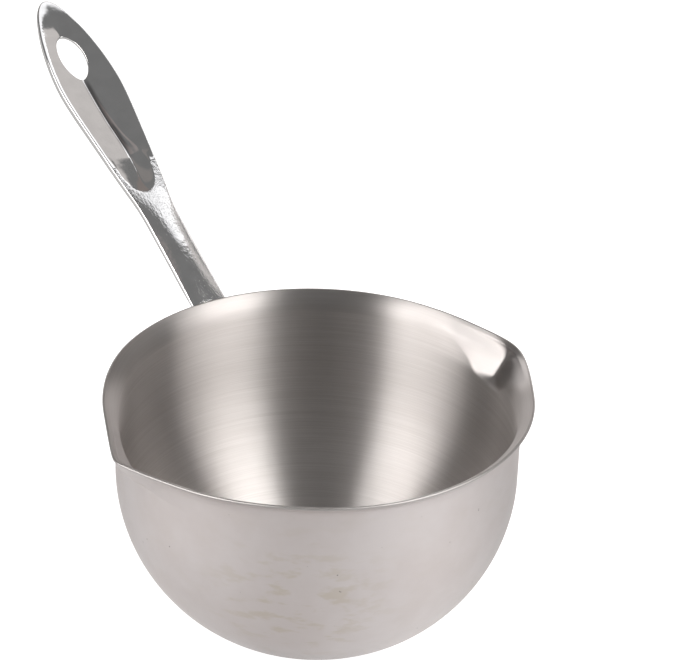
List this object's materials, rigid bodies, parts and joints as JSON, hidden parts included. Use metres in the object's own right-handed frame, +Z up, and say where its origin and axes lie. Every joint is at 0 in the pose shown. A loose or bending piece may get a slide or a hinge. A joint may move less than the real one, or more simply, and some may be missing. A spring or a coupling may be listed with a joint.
{
  "type": "melting pot",
  "caption": "Small round-bottomed steel pot with a turned rim, a pour lip on each side and a dished flat handle with a hanging hole, for melting candle wax over a heat source.",
  "frame": {"origin": "centre of the bowl's flat underside, on the surface that the pot stands on", "axes": "+Z up through the bowl, +Y towards the handle, +X along the line through the two pour lips"},
  "size_m": [0.1082, 0.1895, 0.1066],
  "materials": {
    "bowl_steel": "brushed inside, satin outside",
    "handle_steel": "polished stainless steel",
    "weld_steel": "spot-weld mark, dull"
  },
  "bodies": {
    "root": {"bowl": "bowl_steel", "handle": "handle_steel", "spot_weld_left": "weld_steel", "spot_weld_right": "weld_steel", "spot_weld_lower": "weld_steel"}
  },
  "joints": []
}
